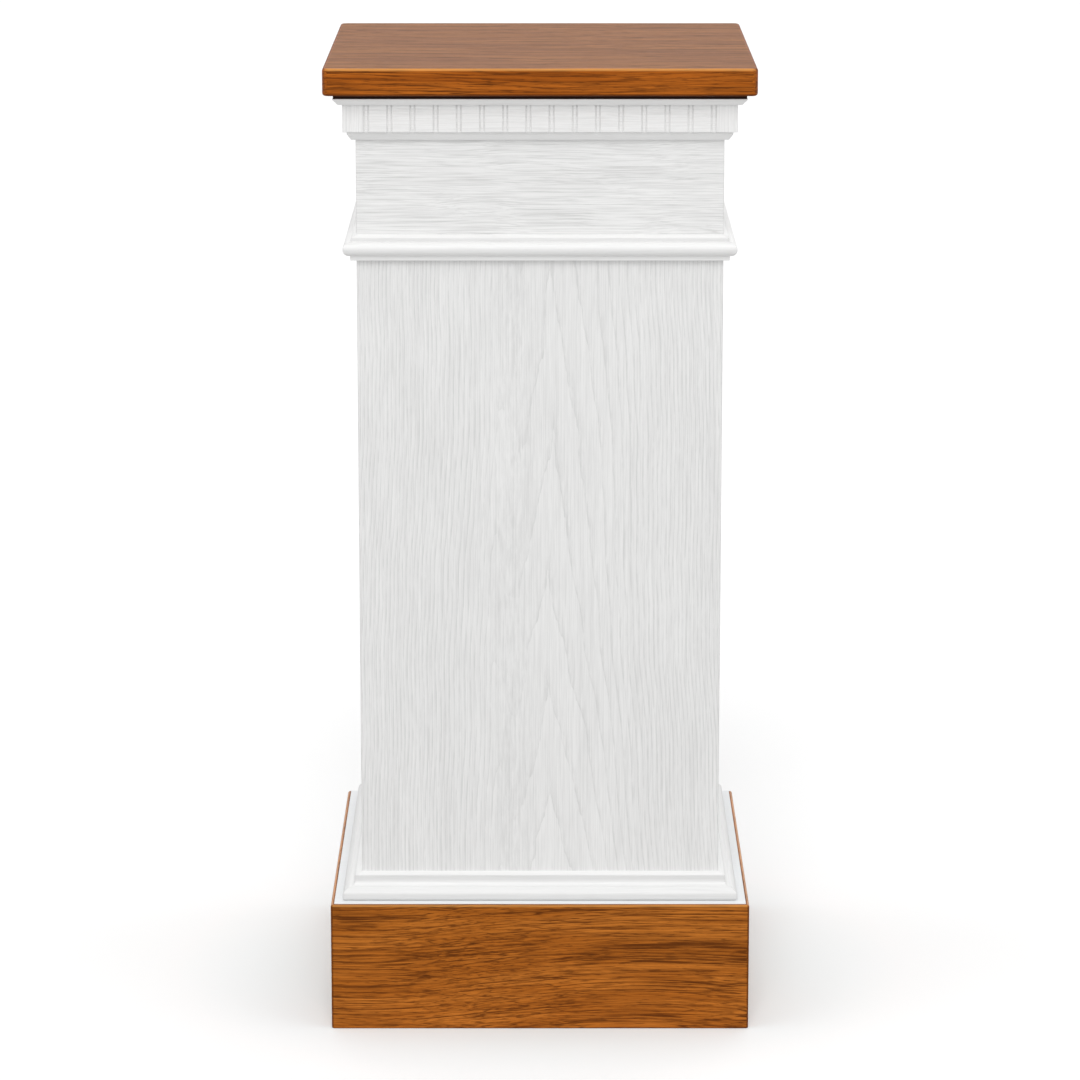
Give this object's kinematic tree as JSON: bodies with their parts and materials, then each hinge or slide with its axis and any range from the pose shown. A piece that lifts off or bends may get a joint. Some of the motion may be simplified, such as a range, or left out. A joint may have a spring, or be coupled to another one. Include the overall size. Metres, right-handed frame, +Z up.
{
  "type": "pedestal column stand",
  "caption": "Square pedestal column with an overhanging stained slab top, dentil cornice, astragal band, moulded base cap and stained plinth, for displaying an object.",
  "frame": {"origin": "middle of the footprint, on the floor", "axes": "+Z up the column, -Y out of the front face, +X to the right"},
  "size_m": [0.396, 0.396, 0.914],
  "materials": {
    "stained_oak": "oak in a warm red-brown stain under satin varnish",
    "dark_stain": "thin panel edge in a near-black brown stain",
    "white_paint": "white satin paint over oak, the raised grain showing through",
    "plain_pine": "planed and left bare",
    "birch_ply": "bare plywood",
    "zinc_steel": "bright zinc plate"
  },
  "bodies": {
    "root": {"top_slab": "stained_oak", "subtop_panel": "dark_stain", "plinth_lid": "white_paint", "crown_front": "white_paint", "dentil_strip_front": "white_paint", "bed_mould_front": "white_paint", "frieze_board_front": "white_paint", "astragal_front": "white_paint", "shaft_board_front": "white_paint", "base_cap_front": "white_paint", "plinth_board_front": "stained_oak", "plinth_ground_front": "birch_ply", "top_cleat_front": "plain_pine", "slab_screw_front": "zinc_steel", "crown_right": "white_paint", "dentil_strip_right": "white_paint", "bed_mould_right": "white_paint", "frieze_board_right": "white_paint", "astragal_right": "white_paint", "shaft_board_right": "white_paint", "base_cap_right": "white_paint", "plinth_board_right": "stained_oak", "plinth_ground_right": "birch_ply", "top_cleat_right": "plain_pine", "slab_screw_right": "zinc_steel", "crown_back": "white_paint", "dentil_strip_back": "white_paint", "bed_mould_back": "white_paint", "frieze_board_back": "white_paint", "astragal_back": "white_paint", "shaft_board_back": "white_paint", "base_cap_back": "white_paint", "plinth_board_back": "stained_oak", "plinth_ground_back": "birch_ply", "top_cleat_back": "plain_pine", "slab_screw_back": "zinc_steel", "crown_left": "white_paint", "dentil_strip_left": "white_paint", "bed_mould_left": "white_paint", "frieze_board_left": "white_paint", "astragal_left": "white_paint", "shaft_board_left": "white_paint", "base_cap_left": "white_paint", "plinth_board_left": "stained_oak", "plinth_ground_left": "birch_ply", "top_cleat_left": "plain_pine", "slab_screw_left": "zinc_steel", "dentil_corner_front_right": "white_paint", "corner_post_front_right": "plain_pine", "plinth_spline_front_right": "birch_ply", "dentil_corner_back_right": "white_paint", "corner_post_back_right": "plain_pine", "plinth_spline_back_right": "birch_ply", "dentil_corner_back_left": "white_paint", "corner_post_back_left": "plain_pine", "plinth_spline_back_left": "birch_ply", "dentil_corner_front_left": "white_paint", "corner_post_front_left": "plain_pine", "plinth_spline_front_left": "birch_ply"}
  },
  "joints": []
}
